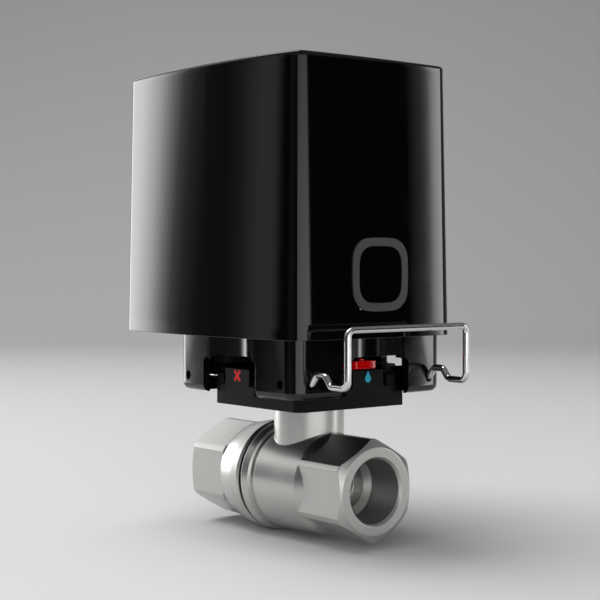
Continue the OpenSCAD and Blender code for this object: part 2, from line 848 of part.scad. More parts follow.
module base() {
    color([0.03, 0.03, 0.035])
    difference() {
        union() {
            skin([for (k = [0 : 5])
                let (a = 90 * k / 5)
                lift(base_outline(base_edge_r * (1 - sin(a))), base_bottom + base_edge_r * (1 - cos(a)))]);
            translate([0, 0, base_bottom + base_edge_r - eps])
                linear_extrude(tray_z - base_bottom - base_edge_r + 0.1)
                    polygon(base_outline());
            translate([0, 0, tray_z])
                linear_extrude(tray_t)
                    polygon(cover_outline(cover_wall + lean(tray_top) + slip_gap));
            at_pillars()
                translate([0, 0, tray_top - 1])
                    cylinder(h = plate_z - tray_top + 1, r = pillar_r);
            translate([idler_b_at[0], idler_b_at[1], tray_top - 1])
                cylinder(h = 1 + pass_gap / 2, r = pin_r + 1);
            for (s = [-1, 1])
                translate([board_x - 1.6, s * (board_w / 2 - 0.5) - 1.6, tray_top - 1])
                    cube([board_t + 3.2, 3.2, 10]);
        }
        difference() {
            translate([0, 0, base_bottom - 1])
                linear_extrude(floor_z - base_bottom + 1)
                    polygon(base_outline(base_wall));
            four_sides()
                translate([lug_at - lug_half, lug_at - lug_half, adapter_top])
                    cube([base_half, base_half, floor_z]);
        }
        two_sides() {
            window_cut(window_w, window_shift);
            scoop_cut();
        }
        rotate([0, 0, 90])
            window_cut(far_window_w, -far_window_shift);
        clip_channels(clip_hole_r, base_half + 5);
        translate([0, 0, floor_z + floor_t]) {
            cylinder(h = tray_top, r = output_module * (output_teeth / 2 + 1) + 0.8);
            translate([idler_a_at[0], idler_a_at[1], 0])
                cylinder(h = tray_top, r = output_module * (pinion_teeth / 2 + 1) + 0.8);
        }
        translate([0, 0, floor_z - 1])
            cylinder(h = floor_t + 2, r = hub_r + run_gap);
        translate([0, 0, floor_z + 0.7])
            cylinder(h = 2 * o_ring_r + 0.2, r = hub_r + 2 * o_ring_r + 0.05);
        translate([idler_a_at[0], idler_a_at[1], floor_z + 1])
            cylinder(h = floor_t, r = pin_r);
        translate([idler_b_at[0], idler_b_at[1], tray_z + 1])
            cylinder(h = tray_t + 2, r = pin_r);
        at_pillars()
            translate([0, 0, tray_z + 1])
                cylinder(h = plate_z, r = small_screw_r);
        screw_at_corners() {
            translate([0, 0, floor_z - 1])
                cylinder(h = seat_z - floor_z + 1, r = screw_head_r + slip_gap);
            translate([0, 0, floor_z])
                cylinder(h = tray_top, r = screw_r + slip_gap);
        }
        translate([board_x - slip_gap, -board_w / 2 - slip_gap, board_z])
            cube([board_t + 2 * slip_gap, board_w + 2 * slip_gap, board_h]);
    }
}

module shaft_seal() {
    color("black")
        o_ring(hub_r + run_gap + o_ring_r, floor_z + 0.8 + o_ring_r);
}

// Two small switches under the floor that read the ring at each end of its turn
module limit_switches() {
    color([0.15, 0.15, 0.17])
    rotate([0, 0, 90])
        for (s = [-1, 1])
            translate([s * limit_at, limit_in + limit_d / 2, 0])
                difference() {
                    translate([-limit_w / 2, -limit_d / 2, ring_z + 0.6])
                        cube([limit_w, limit_d, floor_z - ring_z - 0.6]);
                    translate([-s * limit_w / 2, -limit_d / 2, ring_z - 1])
                        cylinder(h = 2.2, r = 1.2);
                }
}

module cover_gasket() {
    color("black")
    translate([0, 0, tray_top])
        linear_extrude(gasket_h)
            difference() {
                polygon(cover_outline(cover_wall + lean(rib_z) + slip_gap));
                polygon(cover_outline(cover_wall + lean(rib_z) + rim_w));
            }
}

// The rings of the cover from its lower edge to its rounded top, moved in by a wall
function cover_rings(wall, top) = concat(
    [lift(cover_outline(wall + lean(cover_z)), cover_z - (wall > 0 ? 1 : 0))],
    [for (k = [0 : 4])
        let (a = 90 * k / 4, z = top - cover_edge_r * (1 - sin(a)))
        lift(cover_outline(wall + lean(z) + cover_edge_r * (1 - cos(a))), z)]);

module button_shape(half) {
    polygon(outline(half, half, 6 * half, 6 * half, 0.56 * half));
}

// A prism with the button's outline, between two places along X
module button_prism(half, x0, x1) {
    translate([x0, 0, button_z])
        rotate([90, 0, 90])
            linear_extrude(x1 - x0)
                button_shape(half);
}

module cover() {
    color([0.02, 0.02, 0.024])
    difference() {
        union() {
            difference() {
                skin(cover_rings(0, cover_top));
                skin(cover_rings(cover_wall, cover_top - cover_wall));
            }
            translate([0, 0, rib_z])
                linear_extrude(rib_h)
                    difference() {
                        polygon(cover_outline(cover_wall + lean(rib_z + rib_h) - 0.4));
                        polygon(cover_outline(cover_wall + lean(rib_z) + rim_w));
                    }
            translate([pad_x, -pad_half, button_z - pad_half])
                cube([2.6, 2 * pad_half, 2 * pad_half]);
            screw_at_corners()
                translate([0, 0, tray_top])
                    cylinder(h = boss_h, r = boss_r);
            for (x = [front_screw_x, rear_screw_x])
                for (s = [-1, 1])
                    mirror([0, s < 0 ? 1 : 0, 0])
                        translate([x - 1, cover_half_at(x) - boss_in, rib_z])
                            cube([2, boss_in - lean(rib_z + boss_h) - 0.5, boss_h - gasket_h]);
        }
        button_prism(button_ring_w / 2 + slip_gap, pad_x - 1, cover_front + 5);
        screw_at_corners()
            translate([0, 0, tray_top - 1])
                cylinder(h = screw_len, r = screw_r);
    }
}

module screw(head_r, head_h, r, length) {
    translate([0, 0, -head_h])
        cylinder(h = head_h, r = head_r, $fn = 32);
    cylinder(h = length, r = r, $fn = 32);
}

module cover_screws() {
    color("silver")
    screw_at_corners()
        translate([0, 0, seat_z])
            screw(screw_head_r, screw_head_h, screw_r, screw_len - 1);
}

module button() {
    color([0.02, 0.02, 0.022])
    difference() {
        union() {
            button_prism(button_half, button_back - eps, ring_face - 0.15);
            button_prism(button_flange_half, button_back - button_flange_t, button_back);
        }
        button_prism(button_half - 1.6, button_back - button_flange_t - 1, ring_face - 1.8);
    }
    color([0.02, 0.02, 0.022])
        translate([plunger_top, 0, button_z])
            rotate([0, 90, 0])
                cylinder(h = ring_face - 1.8 - plunger_top + eps, r = 2);
}

module button_ring() {
    color([0.24, 0.24, 0.25])
    difference() {
        union() {
            button_prism(button_ring_w / 2, pad_x - eps, ring_face);
            button_prism(flange_half, pad_x - flange_t, pad_x);
            for (a = [0 : 90 : 270])
                translate([0, 0, button_z])
                    rotate([a, 0, 0])
                        translate([board_face + led_h + slip_gap, -1.2, led_at - 1.2])
                            cube([pad_x - board_face - led_h - slip_gap, 2.4, 2.4]);
        }
        button_prism(button_half + slip_gap, pad_x - flange_t - 1, ring_face + 1);
    }
}

module button_switch() {
    color("dimgray")
    difference() {
        translate([board_face, -3, button_z - 3])
            cube([switch_h, 6, 6]);
        translate([board_face + 0.8, 0, button_z])
            rotate([0, 90, 0])
                cylinder(h = switch_h, r = plunger_r + slip_gap);
    }
}

module switch_plunger() {
    color("ivory")
    translate([board_face + 0.9 + button_travel, 0, button_z])
        rotate([0, 90, 0])
            cylinder(h = plunger_top - board_face - 0.9 - button_travel, r = plunger_r);
}

module at_board_screws() {
    for (s = [-1, 1])
        translate([board_x, s * (board_w / 2 - 4), board_screw_z])
            rotate([0, 90, 0])
                children();
}

module circuit_board() {
    color("darkgreen")
    difference() {
        translate([board_x, -board_w / 2, board_z])
            cube([board_t, board_w, board_h]);
        at_board_screws()
            translate([0, 0, -1])
                cylinder(h = board_t + 2, r = small_screw_r + slip_gap);
    }
}

module board_screws() {
    color("silver")
    at_board_screws()
        translate([0, 0, board_t])
            mirror([0, 0, 1])
                screw(small_head_r, small_head_h, small_screw_r - thread_gap, board_screw_len);
}

module radio_module() {
    color("silver")
        translate([board_face, -radio_w / 2, button_z + pad_half + 1])
            cube([radio_t, radio_w, radio_h]);
}

module indicator_leds() {
    color("white")
    for (a = [0 : 90 : 270])
        translate([board_face, 0, button_z])
            rotate([a, 0, 0])
                translate([0, -1, led_at - 1])
                    cube([led_h, 2, 2]);
}

function involute(a) = tan(a) * 180 / PI - a;

// Half the angle of a tooth at radius r
function tooth_half(teeth, m, r) =
    let (rp = m * teeth / 2, rb = rp * cos(pressure_angle))
    90 / teeth - backlash / 2 / rp * 180 / PI / 2 + involute(pressure_angle)
        - involute(acos(min(1, rb / max(r, rb))));

// Outline of a spur gear with a tooth centred on the given direction
function gear_points(teeth, m, way) =
    let (rp = m * teeth / 2, r0 = rp - 1.1 * m, r1 = rp + 0.85 * m,
        steps = [for (k = [0 : 5]) r0 + (r1 - r0) * k / 5])
    [for (i = [0 : teeth - 1])
        let (c = way + 360 * i / teeth)
        for (s = [-1, 1])
            for (k = [0 : 5])
                let (r = steps[s < 0 ? k : 5 - k])
                polar(r, c + s * tooth_half(teeth, m, r))];

module gear(teeth, m, way, z, t) {
    translate([0, 0, z])
        linear_extrude(t)
            polygon(gear_points(teeth, m, way));
}

// The direction that puts a gap of a gear opposite a tooth of its mate
function gap_way(teeth, way) = way + 180 + 180 / teeth;

module output_gear() {
    color("ivory")
    difference() {
        union() {
            gear(output_teeth, output_module, idler_a_dir, gear_z, gear_t);
            translate([0, 0, ring_z + ring_t + pass_gap])
                cylinder(h = gear_z - ring_z - ring_t, r = hub_r);
            translate([0, 0, gear_z])
                cylinder(h = plate_top - gear_z, r = journal_r);
        }
        translate([-square_w / 2 - slip_gap, -square_w / 2 - slip_gap, ring_z])
            cube([square_w + 2 * slip_gap, square_w + 2 * slip_gap, square_top - ring_z + slip_gap]);
    }
}

module idler_bore(z) {
    translate([0, 0, z - 1])
        cylinder(h = 40, r = pin_r + run_gap);
}

module idler_gear_a() {
    color("white")
    translate([idler_a_at[0], idler_a_at[1], 0])
        difference() {
            union() {
                gear(pinion_teeth, output_module, gap_way(pinion_teeth, idler_a_dir), gear_z,
                    wheel_a_z - gear_z);
                gear(wheel_a_teeth, middle_module, idler_b_dir, wheel_a_z - eps, wheel_t);
                translate([0, 0, wheel_a_z])
                    cylinder(h = plate_z - wheel_a_z - pass_gap, r = pin_r + 1);
            }
            idler_bore(gear_z);
        }
}

module idler_gear_b() {
    color("white")
    translate([idler_b_at[0], idler_b_at[1], 0])
        difference() {
            union() {
                gear(pinion_teeth, middle_module, gap_way(pinion_teeth, idler_b_dir), wheel_a_z,
                    wheel_b_z - wheel_a_z);
                gear(wheel_b_teeth, motor_module, motor_dir, wheel_b_z - eps, wheel_t);
            }
            idler_bore(wheel_a_z);
        }
}

module idler_pins() {
    color("lightsteelblue") {
        translate([idler_a_at[0], idler_a_at[1], floor_z + 1])
            cylinder(h = plate_top - floor_z - 1, r = pin_r);
        translate([idler_b_at[0], idler_b_at[1], tray_z + 1])
            cylinder(h = plate_top - tray_z - 1, r = pin_r);
    }
}

module at_motor_screws() {
    for (a = motor_screw_ways)
        translate([motor_at[0], motor_at[1], 0])
            rotate([0, 0, a])
                translate([motor_screw_at, 0, 0])
                    children();
}

module gearbox_plate() {
    color("gainsboro")
    difference() {
        translate([plate_back, -plate_half, plate_z])
            cube([plate_front - plate_back, 2 * plate_half, plate_t]);
        translate([0, 0, plate_z - 1])
            cylinder(h = plate_t + 2, r = journal_r + run_gap);
        at_idlers()
            translate([0, 0, plate_z - 1])
                cylinder(h = plate_t + 2, r = pin_r);
        translate([motor_at[0], motor_at[1], plate_z - 1])
            cylinder(h = plate_t + 2, r = motor_collar_r + slip_gap);
        at_pillars()
            translate([0, 0, plate_z - 1])
                cylinder(h = plate_t + 2, r = small_screw_r + slip_gap);
        at_motor_screws()
            translate([0, 0, plate_z - 1])
                cylinder(h = plate_t + 2, r = small_screw_r + slip_gap);
    }
}

module gearbox_screws() {
    color("silver")
    at_pillars()
        translate([0, 0, plate_top])
            mirror([0, 0, 1])
                screw(small_head_r, small_head_h, small_screw_r - thread_gap, plate_t + gearbox_screw_grip);
}

module motor() {
    color("silver")
    difference() {
        translate([motor_at[0], motor_at[1], plate_top]) {
            cylinder(h = motor_len, r = motor_r);
            translate([0, 0, -plate_t])
                cylinder(h = plate_t + eps, r = motor_collar_r);
            translate([0, 0, motor_len - eps])
                cylinder(h = 2.4, r = 4);
            for (s = [-1, 1])
                translate([-1.5, s * terminal_at - 0.4, motor_len - eps])
                    cube([3, 0.8, 4]);
        }
        translate([motor_at[0], motor_at[1], plate_z - 1])
            cylinder(h = shaft_end - plate_z + 2, r = motor_shaft_r + run_gap);
        at_motor_screws()
            translate([0, 0, plate_z])
                cylinder(h = plate_t + 4, r = small_screw_r);
    }
}

module motor_screws() {
    color("silver")
    at_motor_screws()
        translate([0, 0, plate_z])
            screw(motor_head_r, motor_head_h, small_screw_r - thread_gap, plate_t + motor_screw_grip);
}

module motor_pinion() {
    color("goldenrod")
    translate([motor_at[0], motor_at[1], 0]) {
        gear(pinion_teeth, motor_module, gap_way(pinion_teeth, motor_dir), wheel_b_z - 0.1,
            wheel_t + 0.2);
        translate([0, 0, wheel_b_z])
            cylinder(h = shaft_end - wheel_b_z, r = motor_shaft_r);
    }
}

module at_cells() {
    for (x = [-1, 1])
        for (y = [-1, 1])
            translate([cell_mid + x * cell_pitch, y * cell_pitch, 0])
                children();
}

module battery_holder() {
    color([0.15, 0.15, 0.17])
    difference() {
        union() {
            translate([cell_mid - holder_half, -holder_half, plate_top])
                cube([2 * holder_half, 2 * holder_half, lid_z - plate_top]);
            at_board_screws()
                mirror([0, 0, 1])
                    cylinder(h = board_x - cell_mid - holder_half + 1, r = 2.4);
        }
        at_cells()
            translate([0, 0, plate_top + holder_floor])
                cylinder(h = cell_len + 5, r = cell_r + 0.2);
        translate([0, 0, plate_top - 1])
            cylinder(h = holder_floor, r = journal_r + 1);
        translate([idler_a_at[0], idler_a_at[1], plate_top - 1])
            cylinder(h = 1.5, r = pin_r + 1);
        at_pillars()
            translate([0, 0, plate_top - 1])
                cylinder(h = 4, r = small_head_r + 0.4);
        at_board_screws()
            mirror([0, 0, 1])
                translate([0, 0, -1])
                    cylinder(h = board_screw_len + 1, r = small_screw_r);
    }
}

module battery_cells() {
    color("royalblue")
    at_cells() {
        translate([0, 0, cell_z])
            cylinder(h = cell_len - 1, r = cell_r);
        translate([0, 0, cell_top - 1 - eps])
            cylinder(h = 1 + eps, r = 3.2);
    }
}

module battery_contacts() {
    color("gold")
    for (z = [cell_z - contact_t, cell_top])
        at_cells()
            translate([0, 0, z])
                cylinder(h = contact_t, r = cell_r - 2.5);
}

module battery_lid() {
    color([0.15, 0.15, 0.17])
    translate([cell_mid - holder_half, -holder_half, lid_z])
        cube([2 * holder_half, 2 * holder_half, lid_t]);
}

valve_body();
end_retainer();
retainer_gasket();
near_seat();
far_seat();
ball();
stem();
stem_o_rings();
stem_thrust_washer();
adapter();
adapter_circlip();
open_sign();
closed_sign();
position_ring();
retaining_clip();
base();
shaft_seal();
limit_switches();
cover_gasket();
cover();
cover_screws();
button();
button_ring();
button_switch();
switch_plunger();
circuit_board();
board_screws();
radio_module();
indicator_leds();
output_gear();
idler_gear_a();
idler_gear_b();
idler_pins();
gearbox_plate();
gearbox_screws();
motor();
motor_screws();
motor_pinion();
battery_holder();
battery_cells();
battery_contacts();
battery_lid();
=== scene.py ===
# %% [markdown]
# A battery motor drive sits on a brass ball valve. Every piece could be drawn again here, but then two sets
# of measures would have to agree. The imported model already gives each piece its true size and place, so
# this script only dresses it: smooth gloss shells, metal, plastic, light and a camera.

# %% Load the frame
import json
import math
import bmesh
import bpy
import numpy as np
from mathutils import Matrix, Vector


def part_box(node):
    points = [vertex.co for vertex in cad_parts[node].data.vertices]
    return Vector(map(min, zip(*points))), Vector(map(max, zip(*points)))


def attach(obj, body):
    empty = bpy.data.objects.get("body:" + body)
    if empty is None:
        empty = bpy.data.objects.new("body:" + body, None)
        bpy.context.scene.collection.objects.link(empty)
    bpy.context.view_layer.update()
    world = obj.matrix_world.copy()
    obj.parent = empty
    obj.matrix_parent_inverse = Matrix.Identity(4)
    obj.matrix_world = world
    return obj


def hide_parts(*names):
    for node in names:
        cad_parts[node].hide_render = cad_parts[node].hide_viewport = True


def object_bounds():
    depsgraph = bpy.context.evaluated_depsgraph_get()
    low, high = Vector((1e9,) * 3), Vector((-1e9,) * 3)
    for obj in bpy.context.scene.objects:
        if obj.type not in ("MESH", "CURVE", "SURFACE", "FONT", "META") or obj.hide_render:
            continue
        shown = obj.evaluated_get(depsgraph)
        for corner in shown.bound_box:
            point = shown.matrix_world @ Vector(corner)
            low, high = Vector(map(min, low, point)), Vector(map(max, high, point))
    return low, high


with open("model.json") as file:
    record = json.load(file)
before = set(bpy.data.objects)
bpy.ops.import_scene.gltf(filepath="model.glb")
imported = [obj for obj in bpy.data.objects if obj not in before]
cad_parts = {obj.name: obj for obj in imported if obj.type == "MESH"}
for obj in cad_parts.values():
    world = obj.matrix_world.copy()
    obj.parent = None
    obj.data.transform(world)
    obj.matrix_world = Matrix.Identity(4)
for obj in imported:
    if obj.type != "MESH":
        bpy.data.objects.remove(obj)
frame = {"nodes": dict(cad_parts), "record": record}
nodes = frame["nodes"]
cad_box = [list(map(float, corner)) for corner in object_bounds()]
MM = 0.001
print("nodes:", len(nodes), "box:", cad_box)

# %% [markdown]
# The camera stands where the photograph was taken from: a long lens, a little above the pipe, looking at
# the corner between the button face and the long side. Its place could be typed as three coordinates. A
# heading round the stem axis, a distance and a height say the same and are easier to read and to change.

# %% Camera
CAMERA_HEADING = math.radians(-39.09)
CAMERA_DISTANCE = 427.4 * MM
CAMERA_HEIGHT = 65.6 * MM
LOOK_HEADING = CAMERA_HEADING + math.pi + math.radians(0.37)
LOOK_DOWN = math.radians(1.49)
FOCAL_PX = 1410.9
IMAGE_PX = 600
SENSOR_MM = 36
NEAREST_SEEN = 20 * MM


def put_in_scene(name, data):
    """An object that holds this mesh, lamp or camera, linked into the scene."""
    made = bpy.data.objects.new(name, data)
    bpy.context.scene.collection.objects.link(made)
    return made


camera = put_in_scene("camera", bpy.data.cameras.new("camera"))
camera.location = (CAMERA_DISTANCE * math.cos(CAMERA_HEADING),
                   CAMERA_DISTANCE * math.sin(CAMERA_HEADING), CAMERA_HEIGHT)
camera.rotation_euler = (math.pi / 2 - LOOK_DOWN, 0, LOOK_HEADING - math.pi / 2)
camera.data.sensor_width = SENSOR_MM
camera.data.lens = FOCAL_PX * SENSOR_MM / IMAGE_PX
camera.data.clip_start = NEAREST_SEEN
bpy.context.scene.camera = camera
print("lens mm:", round(camera.data.lens, 2))

# %% [markdown]
# Two effects are shared by many finishes: a fine grain and the marks of a tool. Each could be built again
# in every material. A node group is built once, takes its own values in each material, and a change to it
# reaches them all, so both effects are groups.

# %% Helpers for shader nodes
def new_group(name, inputs, outputs):
    """An empty shader group with named sockets, and its input and output nodes."""
    group = bpy.data.node_groups.new(name, "ShaderNodeTree")
    for socket, kind, value in inputs:
        made = group.interface.new_socket(socket, in_out="INPUT", socket_type=kind)
        made.default_value = value
    for socket, kind in outputs:
        group.interface.new_socket(socket, in_out="OUTPUT", socket_type=kind)
    return group, group.nodes.new("NodeGroupInput"), group.nodes.new("NodeGroupOutput")


def add_math(tree, operation, second=None):
    """A Math node, with a number on its second input where one is given."""
    made = tree.nodes.new("ShaderNodeMath")
    made.operation = operation
    if second is not None:
        made.inputs[1].default_value = second
    return made


# %% [markdown]
# No real gloss is perfectly even, and no real edge is perfectly sharp. Both could be modelled, at a great
# cost in faces. Here broad noise makes the roughness drift, finer noise adds a faint bump, and a Bevel node
# turns the normals over a small radius at hard edges. That draws the thin line of light that a moulded or
# machined edge has, and costs no geometry.

# %% Shared effect: fine grain
NOISE_LOW, NOISE_HIGH = 0.3, 0.7
FINE_RATIO = 12
BUMP_DEPTH = 0.02 * MM
EDGE_SAMPLES = 8


def make_grain():
    """The fine_grain group. Its roughness is broad noise, whose usual range is spread from Smooth to
    Rough. Its normal is rounded over the Edge radius and bumped by noise FINE_RATIO times finer."""
    group, start, end = new_group(
        "fine_grain",
        [("Scale", "NodeSocketFloat", 300), ("Smooth", "NodeSocketFloat", 0.1),
         ("Rough", "NodeSocketFloat", 0.2), ("Bump", "NodeSocketFloat", 0.1), ("Edge", "NodeSocketFloat", 0)],
        [("Roughness", "NodeSocketFloat"), ("Normal", "NodeSocketVector")])
    add, link = group.nodes.new, group.links.new
    place = add("ShaderNodeTexCoord")
    broad = add("ShaderNodeTexNoise")
    broad.inputs["Detail"].default_value = 4
    fine = add("ShaderNodeTexNoise")
    fine.inputs["Detail"].default_value = 2
    finer = add_math(group, "MULTIPLY", FINE_RATIO)
    spread = add("ShaderNodeMapRange")
    spread.inputs["From Min"].default_value = NOISE_LOW
    spread.inputs["From Max"].default_value = NOISE_HIGH
    edge = add("ShaderNodeBevel")
    edge.samples = EDGE_SAMPLES
    bump = add("ShaderNodeBump")
    bump.inputs["Distance"].default_value = BUMP_DEPTH
    link(place.outputs["Object"], broad.inputs["Vector"])
    link(place.outputs["Object"], fine.inputs["Vector"])
    link(start.outputs["Scale"], broad.inputs["Scale"])
    link(start.outputs["Scale"], finer.inputs[0])
    link(finer.outputs[0], fine.inputs["Scale"])
    link(broad.outputs["Fac"], spread.inputs["Value"])
    link(start.outputs["Smooth"], spread.inputs["To Min"])
    link(start.outputs["Rough"], spread.inputs["To Max"])
    link(start.outputs["Edge"], edge.inputs["Radius"])
    link(edge.outputs["Normal"], bump.inputs["Normal"])
    link(fine.outputs["Fac"], bump.inputs["Height"])
    link(start.outputs["Bump"], bump.inputs["Strength"])
    link(spread.outputs["Result"], end.inputs["Roughness"])
    link(bump.outputs["Normal"], end.inputs["Normal"])
    return group


GRAIN = make_grain()
print("group:", GRAIN.name)

# %% [markdown]
# The valve was turned and polished before it was plated, so its metal keeps faint rings round the pipe
# axis. They could be cut as grooves, but the real ones are far finer than any mesh. Noise that is squeezed
# along the axis gives such rings, and a second bump on top of the grain's normal shows them.

# %% Shared effect: tool marks
def make_tool_marks():
    """The tool_marks group. Noise on coordinates that are multiplied by Stretch, as a bump on Normal. The
    marks lie across the direction that is stretched most."""
    group, start, end = new_group(
        "tool_marks",
        [("Stretch", "NodeSocketVector", (1, 1, 1)), ("Strength", "NodeSocketFloat", 0.2),
         ("Normal", "NodeSocketVector", (0, 0, 0))],
        [("Normal", "NodeSocketVector")])
    add, link = group.nodes.new, group.links.new
    place = add("ShaderNodeTexCoord")
    stretch = add("ShaderNodeVectorMath")
    stretch.operation = "MULTIPLY"
    lines = add("ShaderNodeTexNoise")
    lines.inputs["Scale"].default_value = 1
    lines.inputs["Detail"].default_value = 3
    bump = add("ShaderNodeBump")
    bump.inputs["Distance"].default_value = BUMP_DEPTH
    link(place.outputs["Object"], stretch.inputs[0])
    link(start.outputs["Stretch"], stretch.inputs[1])
    link(stretch.outputs[0], lines.inputs["Vector"])
    link(lines.outputs["Fac"], bump.inputs["Height"])
    link(start.outputs["Strength"], bump.inputs["Strength"])
    link(start.outputs["Normal"], bump.inputs["Normal"])
    link(bump.outputs["Normal"], end.inputs["Normal"])
    return group


TOOL_MARKS = make_tool_marks()
print("group:", TOOL_MARKS.name)

# %% [markdown]
# The object has over twenty finishes, from mirror gloss to rubber. Each could be a tree of its own, but
# they differ only in a few numbers, so one function makes them all from a table. Every finish is one
# Principled shader. Colour, metal and index are fixed numbers on its sockets, and only roughness and normal
# come from the groups, so the finish still exports as a plain material.

# %% One finish from a few numbers
def finish_of(name, colour, smooth, rough, scale, bump, metal=0.0, ior=1.5, stretch=None, marks=0.0,
              edge=0.15):
    """A Principled material. Its roughness drifts between smooth and rough in patches of 1 / scale metres,
    its edges look rounded to the edge radius in mm, and stretch and marks lay tool marks over it."""
    made = bpy.data.materials.new(name)
    made.use_nodes = True
    tree = made.node_tree
    shader = tree.nodes["Principled BSDF"]
    shader.inputs["Base Color"].default_value = (*colour, 1)
    shader.inputs["Metallic"].default_value = metal
    shader.inputs["IOR"].default_value = ior
    grain = tree.nodes.new("ShaderNodeGroup")
    grain.node_tree = GRAIN
    for socket, value in {"Scale": scale, "Smooth": smooth, "Rough": rough, "Bump": bump,
                          "Edge": edge * MM}.items():
        grain.inputs[socket].default_value = value
    tree.links.new(grain.outputs["Roughness"], shader.inputs["Roughness"])
    normal = grain.outputs["Normal"]
    if stretch:
        lines = tree.nodes.new("ShaderNodeGroup")
        lines.node_tree = TOOL_MARKS
        lines.inputs["Stretch"].default_value = stretch
        lines.inputs["Strength"].default_value = marks
        tree.links.new(normal, lines.inputs["Normal"])
        normal = lines.outputs["Normal"]
    tree.links.new(normal, shader.inputs["Normal"])
    return made


# %% The finishes
FINISH_VALUES = {
    # Moulded black: mirror gloss on the housing, satin on the adapter, matt grey round the button.
    "cover_gloss_black": dict(colour=(0.003, 0.003, 0.0035), smooth=0.035, rough=0.07, scale=120,
                              bump=0.012, edge=0),
    "base_gloss_black": dict(colour=(0.004, 0.004, 0.005), smooth=0.06, rough=0.12, scale=200, bump=0.02,
                             edge=0.06),
    "adapter_black": dict(colour=(0.004, 0.004, 0.005), smooth=0.30, rough=0.42, scale=500, bump=0.12,
                          ior=1.22, edge=0.2),
    "button_ring_grey": dict(colour=(0.045, 0.046, 0.05), smooth=0.35, rough=0.5, scale=600, bump=0.12,
                             edge=0),
    # Metals of the valve, the clip and the inner works.
    "nickel_plated_brass": dict(colour=(0.56, 0.555, 0.54), smooth=0.28, rough=0.35, scale=90, bump=0.02,
                                metal=1.0, stretch=(700, 90, 90), marks=0.03, edge=0.35),
    "chromed_brass": dict(colour=(0.72, 0.72, 0.73), smooth=0.05, rough=0.12, scale=300, bump=0.03,
                          metal=1.0),
    "stem_brass": dict(colour=(0.66, 0.50, 0.24), smooth=0.22, rough=0.34, scale=500, bump=0.1,
                       metal=1.0),
    "clip_wire": dict(colour=(0.68, 0.685, 0.70), smooth=0.08, rough=0.17, scale=900, bump=0.05,
                      metal=1.0),
    "screw_steel": dict(colour=(0.56, 0.56, 0.57), smooth=0.25, rough=0.4, scale=700, bump=0.1,
                        metal=1.0),
    "motor_steel": dict(colour=(0.5, 0.5, 0.52), smooth=0.25, rough=0.38, scale=300, bump=0.1, metal=1.0),
    "plate_steel": dict(colour=(0.6, 0.6, 0.6), smooth=0.3, rough=0.42, scale=300, bump=0.12, metal=1.0),
    # Bright plastic of the two signs and of the pointer ring.
    "sign_blue": dict(colour=(0.04, 0.62, 0.88), smooth=0.35, rough=0.5, scale=900, bump=0.1, ior=1.3),
    "sign_red": dict(colour=(0.95, 0.008, 0.014), smooth=0.35, rough=0.5, scale=900, bump=0.1, ior=1.3),
    "ring_red": dict(colour=(0.95, 0.004, 0.006), smooth=0.06, rough=0.12, scale=400, bump=0.03,
                     edge=0.4),
    # Seats, seals, gears and switches.
    "seat_ptfe": dict(colour=(0.8, 0.8, 0.78), smooth=0.4, rough=0.55, scale=500, bump=0.1, ior=1.35),
    "seal_rubber": dict(colour=(0.015, 0.015, 0.016), smooth=0.6, rough=0.8, scale=900, bump=0.2),
    "gear_plastic": dict(colour=(0.78, 0.76, 0.68), smooth=0.35, rough=0.5, scale=600, bump=0.1),
    "switch_white": dict(colour=(0.85, 0.85, 0.85), smooth=0.35, rough=0.5, scale=600, bump=0.1),
    # Electronics and cells.
    "board_green": dict(colour=(0.01, 0.11, 0.035), smooth=0.25, rough=0.4, scale=500, bump=0.1),
    "shield_can": dict(colour=(0.66, 0.66, 0.66), smooth=0.25, rough=0.35, scale=500, bump=0.1,
                       metal=1.0),
    "led_white": dict(colour=(0.85, 0.85, 0.8), smooth=0.15, rough=0.25, scale=500, bump=0.05),
    "holder_black": dict(colour=(0.02, 0.02, 0.022), smooth=0.4, rough=0.55, scale=500, bump=0.15),
    "cell_blue": dict(colour=(0.03, 0.09, 0.3), smooth=0.25, rough=0.4, scale=400, bump=0.05),
    "contact_gold": dict(colour=(0.75, 0.55, 0.2), smooth=0.2, rough=0.3, scale=500, bump=0.05,
                         metal=1.0),
}
FINISHES = {name: finish_of(name, **values) for name, values in FINISH_VALUES.items()}
print("finishes:", len(FINISHES))

# %% [markdown]
# Each piece of the object has one finish. The materials could be picked by hand, piece by piece. The record
# already says which finish each piece has, so they are handed out from it in one loop. The CAD pieces keep
# their meshes, and only their material slots are filled.

# %% Hand out the finishes
SLOT_OF = {entry["node"]: entry["material_slot"] for entry in frame["record"]["subparts"]}


def dress(piece, slot):
    """Gives a piece one material, the finish of that slot."""
    piece.data.materials.clear()
    piece.data.materials.append(FINISHES[slot])


for name, node in nodes.items():
    dress(node, SLOT_OF[name])
print("dressed:", len(nodes))

# %% [markdown]
# Gloss shows every facet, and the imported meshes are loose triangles. A curved piece that the eye sees could
# be drawn again, but its shape is already right. So a copy of it has its triangles joined and its normals
# smoothed. Edges that are really sharp stay sharp: an edge is smoothed only when its two faces turn by less
# than the angle in the list. That angle is wide where the piece's arcs have few steps.

# %% Smooth copies of curved pieces
CAD_GAP = 1e-6
SMOOTHED = {"valve_body": 16, "end_retainer": 16, "base": 24, "position_ring": 16, "ball": 16, "stem": 20,
            "near_seat": 20, "far_seat": 20, "open_sign": 20, "adapter_circlip": 20, "cover_screws": 20,
            "output_gear": 12, "button": 16, "button_ring": 16}


def open_merged(mesh, gap):
    """A working copy of a mesh, with the points that are nearer than the gap joined."""
    work = bmesh.new()
    work.from_mesh(mesh)
    bmesh.ops.remove_doubles(work, verts=work.verts, dist=gap)
    return work


def put_back(work, mesh):
    """Writes a working copy over its mesh and drops it."""
    work.to_mesh(mesh)
    work.free()


